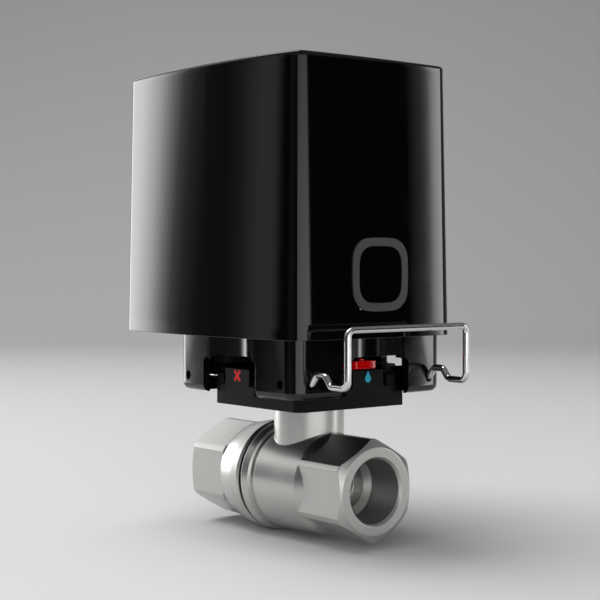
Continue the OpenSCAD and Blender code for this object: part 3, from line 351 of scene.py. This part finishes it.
def smooth_copy(name, sharp_deg):
    """A copy of a node with its triangles joined and every edge above the angle marked sharp."""
    copy = put_in_scene(name + "_skin", nodes[name].data.copy())
    work = open_merged(copy.data, CAD_GAP)
    limit = math.radians(sharp_deg)
    for face in work.faces:
        face.smooth = True
    for edge in work.edges:
        edge.smooth = len(edge.link_faces) == 2 and edge.calc_face_angle(0) < limit
    put_back(work, copy.data)
    dress(copy, SLOT_OF[name])
    return copy


def body_of_node(name):
    """The name of the body that a CAD node belongs to."""
    groups = frame["record"]["behaviour"]["bodies"]
    return next(body for body, members in groups.items() if name in members)


for name, sharp_deg in SMOOTHED.items():
    skin = smooth_copy(name, sharp_deg)
    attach(skin, body_of_node(name))
    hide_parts(name)
print("smoothed:", len(SMOOTHED))

# %% [markdown]
# The cover is the largest gloss surface, and its reflections run straight down its walls only if those
# walls are true curves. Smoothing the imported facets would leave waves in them, so it is drawn again from
# the same measures. Each level is an outline of four bulged sides joined by round corners, and the outlines
# are drawn in a little with height, as a moulded shell is so that it leaves its mould.

# %% Surface helpers
GRID_GAP = 1e-7


def grid_faces(rows, columns, closed=True):
    """Quads between each row of points and the next. Where closed, a row's last point joins its first."""
    steps = columns if closed else columns - 1
    row, column = np.meshgrid(np.arange(rows - 1), np.arange(steps), indexing="ij")
    after = (column + 1) % columns
    corners = [row * columns + column, row * columns + after,
               (row + 1) * columns + after, (row + 1) * columns + column]
    return np.stack(corners, axis=-1).reshape(-1, 4)


def smooth_mesh(name, points, faces):
    """A mesh with smooth shading from arrays of points in metres and of faces."""
    mesh = bpy.data.meshes.new(name)
    mesh.from_pydata(points.tolist(), [], faces.tolist())
    mesh.polygons.foreach_set("use_smooth", np.ones(len(mesh.polygons), dtype=bool))
    return mesh


def new_piece(name, points, faces, body, slot):
    """A piece of the object that rides on a body and has the finish of a slot."""
    piece = put_in_scene(name, smooth_mesh(name, points, faces))
    dress(piece, slot)
    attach(piece, body)
    return piece


# %% Outline of bulged sides and round corners
ARC_STEPS = (28, 14, 36)
OUTLINE_POINTS = 4 * sum(ARC_STEPS)
LEAST_CORNER = 0.3 * MM


def arc(centre, radius, start, stop, steps):
    """Points on a circle from one angle to another, without the last: the centre plus radius times the
    cosine and the sine of the angle."""
    angle = np.linspace(start, stop, steps, endpoint=False)
    return centre + radius * np.stack([np.cos(angle), np.sin(angle)], axis=-1)


def bulged_outline(half, bulge, corner, inset):
    """One closed outline. In each quarter an end arc, a corner arc and a side arc touch. The corner's
    centre is where circles about the two bulge centres, each less the corner radius, meet."""
    (a, b), (end_r, side_r), r = half, bulge, corner
    end, side = np.array([a - end_r, 0.0]), np.array([0.0, b - side_r])
    across = side - end
    d = np.linalg.norm(across)
    along = ((end_r - r) ** 2 - (side_r - r) ** 2 + d * d) / (2 * d)
    up = math.sqrt((end_r - r) ** 2 - along ** 2)
    unit = across / d
    c = end + along * unit + up * np.array([-unit[1], unit[0]])
    first = math.atan2(c[1] - end[1], c[0] - end[0])
    second = math.atan2(c[1] - side[1], c[0] - side[0])
    quarter = np.concatenate([
        arc(end, end_r - inset, 0, first, ARC_STEPS[0]),
        arc(c, max(r - inset, LEAST_CORNER), first, second, ARC_STEPS[1]),
        arc(side, side_r - inset, second, math.pi / 2, ARC_STEPS[2]),
        [[0.0, b - inset]]])
    turned = quarter[::-1]
    return np.concatenate([quarter[:-1], (turned * [-1, 1])[:-1], (-quarter)[:-1], (turned * [1, -1])[:-1]])


# %% The cover's walls and top
COVER_LOW, COVER_HIGH = [np.array(corner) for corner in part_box("cover")]
COVER_DRAFT = math.radians(1.2)
COVER_BULGE = (350 * MM, 255 * MM)
COVER_CORNER = 5.6 * MM
TOP_EDGE = 0.9 * MM
LIP = 0.12 * MM
WALL_LEVELS = 62
EDGE_LEVELS = 8
TOP_RINGS = (0.97, 0.8, 0.6, 0.4, 0.2, 0.0)

cover_half = (COVER_HIGH[:2] - COVER_LOW[:2]) / 2
cover_mid = (COVER_HIGH[0] + COVER_LOW[0]) / 2
wall_z = np.linspace(COVER_LOW[2], COVER_HIGH[2] - TOP_EDGE, WALL_LEVELS)
wall_z = np.insert(wall_z, 1, COVER_LOW[2] + LIP)
edge_angle = np.linspace(0, math.pi / 2, EDGE_LEVELS + 1)[1:]
edge_z = COVER_HIGH[2] - TOP_EDGE * (1 - np.sin(edge_angle))
edge_in = TOP_EDGE * (1 - np.cos(edge_angle))
level_z = np.concatenate([wall_z, edge_z])
level_in = (level_z - COVER_LOW[2]) * math.tan(COVER_DRAFT)
level_in[len(wall_z):] += edge_in
rings = [np.column_stack([bulged_outline(cover_half, COVER_BULGE, COVER_CORNER, inset) + [cover_mid, 0],
                          np.full(OUTLINE_POINTS, z)]) for z, inset in zip(level_z, level_in)]
rim = rings[-1]
top_centre = np.array([cover_mid, 0, COVER_HIGH[2]])
rings += [top_centre + (rim - top_centre) * share for share in TOP_RINGS]
cover_points = np.concatenate(rings)
cover_faces = grid_faces(len(rings), OUTLINE_POINTS)
print("cover points:", len(cover_points))

# %% [markdown]
# The button and its ring sit in a round-cornered hole in the end wall. A boolean would cut it with clean
# edges, but would also break up the long smooth faces beside it. The ring hides the hole's edge, so the
# faces whose middles lie inside the hole are left out, and a Solidify modifier gives the shell its wall.

# %% The opening behind the button ring
COVER_WALL = 2.0 * MM
RING_HALF = 10.5 * MM
RING_BAND = 2.35 * MM
HOLE_ROUNDING = 0.56
BUTTON_HEIGHT = 62.4 * MM

hole = RING_HALF - RING_BAND / 2
hole_corner = HOLE_ROUNDING * hole
middles = cover_points[cover_faces].mean(axis=1)
away = np.maximum(np.abs(middles[:, 1:] - [0, BUTTON_HEIGHT]) - (hole - hole_corner), 0)
inside = (np.hypot(away[:, 0], away[:, 1]) < hole_corner) & (middles[:, 0] > 0)
cover = new_piece("cover_shell", cover_points, cover_faces[~inside], "housing", "cover_gloss_black")
put_back(open_merged(cover.data, GRID_GAP), cover.data)
wall = cover.modifiers.new("wall", "SOLIDIFY")
wall.thickness = COVER_WALL
wall.offset = -1
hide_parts("cover")
print("cover faces:", len(cover.data.polygons))

# %% [markdown]
# The clip is one bent spring wire: straight legs, a wave outside each hole, risers and a crossbar. A curve
# with a round bevel could make it too. Here a ring of points is carried along the path, because then each
# corner can have the wire's bend radius, or less where two corners stand close together, as in the wave.

# %% Clip path
CLIP_LOW, CLIP_HIGH = [np.array(corner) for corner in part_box("retaining_clip")]
WIRE_R = 1.0 * MM
BEND_R = 2.0 * MM
BEND_SHARE = 0.45
WAVE_H = 3.0 * MM
CREST_START, CREST_END, WAVE_END = 2.4 * MM, 5.9 * MM, 8.3 * MM
BASE_FACE = 28.8 * MM

leg_y = CLIP_HIGH[1] - WIRE_R
leg_z = CLIP_LOW[2] + WIRE_R
handle_x = CLIP_HIGH[0] - WIRE_R
handle_z = CLIP_HIGH[2] - WIRE_R
leg = [(CLIP_LOW[0], leg_z), (BASE_FACE, leg_z), (BASE_FACE + CREST_START, leg_z + WAVE_H),
       (BASE_FACE + CREST_END, leg_z + WAVE_H), (BASE_FACE + WAVE_END, leg_z),
       (handle_x, leg_z), (handle_x, handle_z)]
clip_corners = np.array([[x, -leg_y, z] for x, z in leg] + [[x, leg_y, z] for x, z in leg[::-1]])


def rounded(corners, radius, steps=14):
    """The path with each inner corner replaced by an arc that touches both of its straight runs. A point
    of the arc is the sine of what is left of the turn times its first arm, plus the sine of what is done
    times its last arm, over the sine of the whole turn."""
    path = [corners[:1]]
    for before, at, after in zip(corners[:-2], corners[1:-1], corners[2:]):
        u, v = before - at, after - at
        long_u, long_v = np.linalg.norm(u), np.linalg.norm(v)
        u, v = u / long_u, v / long_v
        half = math.acos(np.clip(u @ v, -1, 1)) / 2
        r = min(radius, BEND_SHARE * min(long_u, long_v) * math.tan(half))
        centre = at + (u + v) / np.linalg.norm(u + v) * r / math.sin(half)
        a, b = at + u * r / math.tan(half) - centre, at + v * r / math.tan(half) - centre
        turn = math.pi - 2 * half
        t = np.linspace(0, 1, steps)[:, None]
        path.append(centre + (a * np.sin(turn * (1 - t)) + b * np.sin(turn * t)) / math.sin(turn))
    path.append(corners[-1:])
    return np.concatenate(path)


clip_path = rounded(clip_corners, BEND_R)
print("clip path points:", len(clip_path))

# %% Clip wire
def tube(path, radius, sides=28):
    """A ring of points about each path point: radius times cosine along one side vector and sine along
    the other. The side vectors are turned as little as possible from one point to the next."""
    way = np.gradient(path, axis=0)
    way /= np.linalg.norm(way, axis=1)[:, None]
    side = np.empty_like(way)
    last = np.array([0.0, 1.0, 0.0])
    for i, w in enumerate(way):
        last = last - (last @ w) * w
        last /= np.linalg.norm(last)
        side[i] = last
    angle = np.linspace(0, 2 * math.pi, sides, endpoint=False)
    other = np.cross(way, side)
    rings = (path[:, None] + radius * (np.cos(angle)[None, :, None] * side[:, None]
                                       + np.sin(angle)[None, :, None] * other[:, None]))
    ends = [np.repeat(path[:1, None], sides, axis=1), np.repeat(path[-1:, None], sides, axis=1)]
    return np.concatenate([ends[0], rings, ends[1]]).reshape(-1, 3), grid_faces(len(path) + 2, sides)


clip = new_piece("clip_wire_bent", *tube(clip_path, WIRE_R), "clip", "clip_wire")
work = open_merged(clip.data, GRID_GAP)
bmesh.ops.recalc_face_normals(work, faces=work.faces)
put_back(work, clip.data)
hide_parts("retaining_clip")
print("clip faces:", len(clip.data.polygons))

# %% [markdown]
# The set is a pale sweep: a floor that curves up into a wall behind the object. A flat floor would show
# its far edge in the picture, and a sweep doesn't. Its paper has two greys. The camera, mirrors and glass
# see a pale one, and the light that it gives back to the object comes from a darker one, so that the dark
# housing isn't lit from below.

# %% Sweep
FLOOR_Z = cad_box[0][2] - 0.2 * MM
SWEEP_NEAR, SWEEP_FLAT, SWEEP_WALL = -2.0, 0.9, 1.6
SWEEP_BEND = 0.6
SWEEP_HEIGHT = 2.4
SWEEP_HALF_WIDTH = 2.5
BEND_POINTS = 16
SIDE_POINTS = 9

away_way = np.array([math.cos(LOOK_HEADING), math.sin(LOOK_HEADING)])
side_way = np.array([-away_way[1], away_way[0]])
turn = np.linspace(0, math.pi / 2, BEND_POINTS)
sweep_out = np.concatenate([[SWEEP_NEAR, 0.0, SWEEP_FLAT], SWEEP_WALL - SWEEP_BEND * (1 - np.sin(turn)),
                            [SWEEP_WALL]])
sweep_up = np.concatenate([[0.0, 0.0, 0.0], SWEEP_BEND * (1 - np.cos(turn)), [SWEEP_HEIGHT]]) + FLOOR_Z
sweep_side = np.linspace(-SWEEP_HALF_WIDTH, SWEEP_HALF_WIDTH, SIDE_POINTS)
out, aside = [grid.reshape(-1, 1) for grid in np.meshgrid(sweep_out, sweep_side, indexing="ij")]
sweep_points = np.hstack([out * away_way + aside * side_way, np.repeat(sweep_up, len(sweep_side))[:, None]])
sweep_faces = grid_faces(len(sweep_out), len(sweep_side), closed=False)[:, ::-1]
sweep = put_in_scene("sweep", smooth_mesh("sweep", sweep_points, sweep_faces))
print("floor at mm:", round(FLOOR_Z / MM, 2))

# %% Paper of the sweep
PAPER_SEEN = (0.78, 0.78, 0.78, 1)
PAPER_GIVEN = (0.16, 0.16, 0.16, 1)
PAPER_ROUGHNESS = 0.9
PAPER_GLOSS = 0.1

paper = bpy.data.materials.new("paper")
paper.use_nodes = True
tree = paper.node_tree
shader = tree.nodes["Principled BSDF"]
shader.inputs["Roughness"].default_value = PAPER_ROUGHNESS
shader.inputs["Specular IOR Level"].default_value = PAPER_GLOSS
seen = tree.nodes.new("ShaderNodeLightPath")
shade = tree.nodes.new("ShaderNodeMix")
shade.data_type = "RGBA"
shade.inputs["A"].default_value = PAPER_GIVEN
shade.inputs["B"].default_value = PAPER_SEEN
in_view = seen.outputs["Is Camera Ray"]
for ray in ("Is Glossy Ray", "Is Transmission Ray"):
    either = add_math(tree, "MAXIMUM")
    tree.links.new(in_view, either.inputs[0])
    tree.links.new(seen.outputs[ray], either.inputs[1])
    in_view = either.outputs[0]
tree.links.new(in_view, shade.inputs["Factor"])
tree.links.new(shade.outputs["Result"], shader.inputs["Base Color"])
sweep.data.materials.append(paper)
print("paper seen and given:", PAPER_SEEN[0], PAPER_GIVEN[0])

# %% [markdown]
# Gloss black is lit by what it reflects. A few square lamps would show as hard white boxes in the housing,
# so the studio is a ring of tall curved cards instead. Each wall of the cover mirrors one sector of it: a
# bright card with a soft edge for the long side, a broad dim one in front for the near corner, black ones
# to keep the rest deep, and a narrow bright one for the far edge. The cards are seen only in reflections,
# so they throw no light or shadow on the floor.

# %% How a card shines
def card_light(name, stops, strength, fade, slant):
    """An emission of strength times the ramp of stops at u less slant times v, times the fade at v. The
    stops are (u, brightness), and the fade runs from the foot's value to the head's."""
    material = bpy.data.materials.new(name)
    material.use_nodes = True
    tree = material.node_tree
    tree.nodes.remove(tree.nodes["Principled BSDF"])
    add, link = tree.nodes.new, tree.links.new
    place = add("ShaderNodeUVMap")
    apart = add("ShaderNodeSeparateXYZ")
    slanted = add_math(tree, "MULTIPLY_ADD", -slant)
    ramp = add("ShaderNodeValToRGB")
    elements = ramp.color_ramp.elements
    for element, (u, bright) in zip(elements, (stops[0], stops[-1])):
        element.position = u
        element.color = (bright, bright, bright, 1)
    for u, bright in stops[1:-1]:
        elements.new(u).color = (bright, bright, bright, 1)
    bright_u = add_math(tree, "MULTIPLY", strength)
    up_range = add("ShaderNodeMapRange")
    up_range.inputs["To Min"].default_value = fade[0]
    up_range.inputs["To Max"].default_value = fade[1]
    level = add_math(tree, "MULTIPLY")
    light = add("ShaderNodeEmission")
    link(place.outputs["UV"], apart.inputs[0])
    link(apart.outputs["Y"], slanted.inputs[0])
    link(apart.outputs["X"], slanted.inputs[2])
    link(slanted.outputs[0], ramp.inputs["Fac"])
    link(ramp.outputs["Color"], bright_u.inputs[0])
    link(apart.outputs["Y"], up_range.inputs["Value"])
    link(bright_u.outputs[0], level.inputs[0])
    link(up_range.outputs["Result"], level.inputs[1])
    link(level.outputs[0], light.inputs["Strength"])
    link(light.outputs["Emission"], tree.nodes["Material Output"].inputs["Surface"])
    return material


# %% One card
CARD_COLUMNS = 24


def card(name, radius, low, high, span, stops, strength, fade=(1.0, 1.0), slant=0.0):
    """A curved card round the object. A point is radius times the cosine and the sine of its heading, in
    degrees across the span. u runs with the heading and v with the height, both from 0 to 1."""
    u, v = [grid.ravel() for grid in np.meshgrid(np.linspace(0, 1, CARD_COLUMNS + 1), [0.0, 1.0])]
    heading = np.radians(span[0] + (span[1] - span[0]) * u)
    points = np.column_stack([radius * np.cos(heading), radius * np.sin(heading), low + (high - low) * v])
    faces = grid_faces(2, CARD_COLUMNS + 1, closed=False)[:, ::-1]
    mesh = smooth_mesh(name, points, faces)
    mesh.uv_layers.new(name="UVMap").data.foreach_set("uv", np.column_stack([u, v])[faces].ravel())
    mesh.materials.append(card_light(name, stops, strength, fade, slant))
    made = put_in_scene(name, mesh)
    made.visible_camera = made.visible_diffuse = made.visible_shadow = False


# %% [markdown]
# The camera looks slightly down, so the base mirrors the floor that lies before the tall cards and would
# turn grey. A darker floor would cure that and spoil the pale set. So a low skirt before each tall card
# carries its bands of light down to the floor. The skirts stand nearer, so some of their sectors are shifted
# to line up with the tall cards. One more card stands above the tall ones, for the upper flats of the metal.

# %% Stand the cards
CARD_RADIUS = 1.0
CARD_FOOT = -15 * MM
CARD_HEAD = 360 * MM
SKIRT_RADIUS = 0.45
SKIRT_HEAD = 40 * MM
HIGH_CARD_HEAD = 950 * MM
CARDS = {
    "key_card": dict(
        span=(-182, -142), strength=4.9, slant=0.14,
        stops=[(0.0, 1.0), (0.427, 0.92), (0.557, 0.66), (0.657, 0.30), (0.737, 0.10), (0.817, 0.04),
               (0.937, 0.012)]),
    "side_flag": dict(
        span=(-142, -45), strength=0.45,
        stops=[(0.0, 0.12), (0.06, 0.09), (0.10, 0.30), (0.145, 0.85), (0.18, 0.85), (0.20, 0.0),
               (0.35, 0.0), (0.6, 0.18), (1.0, 0.0)]),
    "front_card": dict(
        span=(-45, 28.5), strength=1.8, fade=(1.1, 0.5), slant=-0.012,
        stops=[(0.0, 0.8), (0.5, 1.0), (0.95, 1.0), (1.0, 0.0)]),
    "black_flag": dict(
        span=(28.5, 46), strength=0.0,
        stops=[(0.0, 0.0), (1.0, 0.0)]),
    "edge_card": dict(
        span=(46, 60), strength=4.6,
        stops=[(0.0, 0.0), (0.2, 0.08), (0.28, 0.2), (0.34, 0.62), (0.42, 1.0), (1.0, 1.0)]),
}
SKIRT_SPAN = {"key_card": (-179.5, -139.5), "side_flag": (-139.5, -45), "front_card": (-45, 17),
              "black_flag": (17, 46)}

for name, values in CARDS.items():
    card(name, CARD_RADIUS, CARD_FOOT, CARD_HEAD, **values)
    span = SKIRT_SPAN.get(name, values["span"])
    card(name + "_skirt", SKIRT_RADIUS, FLOOR_Z, SKIRT_HEAD, span, values["stops"], values["strength"])
card("high_card", CARD_RADIUS, CARD_HEAD, HIGH_CARD_HEAD, span=(-215, -130), strength=1.0,
     stops=[(0.0, 0.6), (0.1, 1.0), (0.8, 1.0), (1.0, 0.2)])
print("cards and skirts:", 2 * len(CARDS) + 1)

# %% [markdown]
# The cards light only what mirrors them, so the floor, the signs and the shadows need real lamps. One
# strong lamp would give a hard shadow. One wide lamp overhead lights the sweep and the upper side of the
# metal softly, a weak one in front opens up the windows of the base, and the world adds a dim even fill.
# All are kept low, so that the pale floor round the object doesn't clip to white.

# %% Lamps and world
AIM = (0, 0, 30 * MM)
WORLD_GREY = (0.5, 0.5, 0.5, 1)
WORLD_STRENGTH = 0.35


def soft_lamp(name, place, size, watts):
    """A square area lamp whose face is turned to the point AIM."""
    lamp = put_in_scene(name, bpy.data.lights.new(name, "AREA"))
    lamp.data.size = size
    lamp.data.energy = watts
    lamp.location = place
    toward = np.array(AIM) - np.array(place)
    tilt = math.pi / 2 + math.atan2(toward[2], math.hypot(toward[0], toward[1]))
    lamp.rotation_euler = (tilt, 0, math.atan2(toward[1], toward[0]) - math.pi / 2)
    lamp.visible_camera = False
    return lamp


soft_lamp("overhead", place=(-0.35, -0.25, 1.15), size=1.0, watts=13.5)
fill = soft_lamp("front_fill", place=(0.75, -0.6, 0.3), size=0.7, watts=3.0)
fill.visible_glossy = False
world = bpy.data.worlds.new("studio")
bpy.context.scene.world = world
world.use_nodes = True
sky = world.node_tree.nodes["Background"]
sky.inputs["Color"].default_value = WORLD_GREY
sky.inputs["Strength"].default_value = WORLD_STRENGTH
bpy.context.scene.view_settings.view_transform = "Standard"
print("lamps:", len(bpy.data.lights))
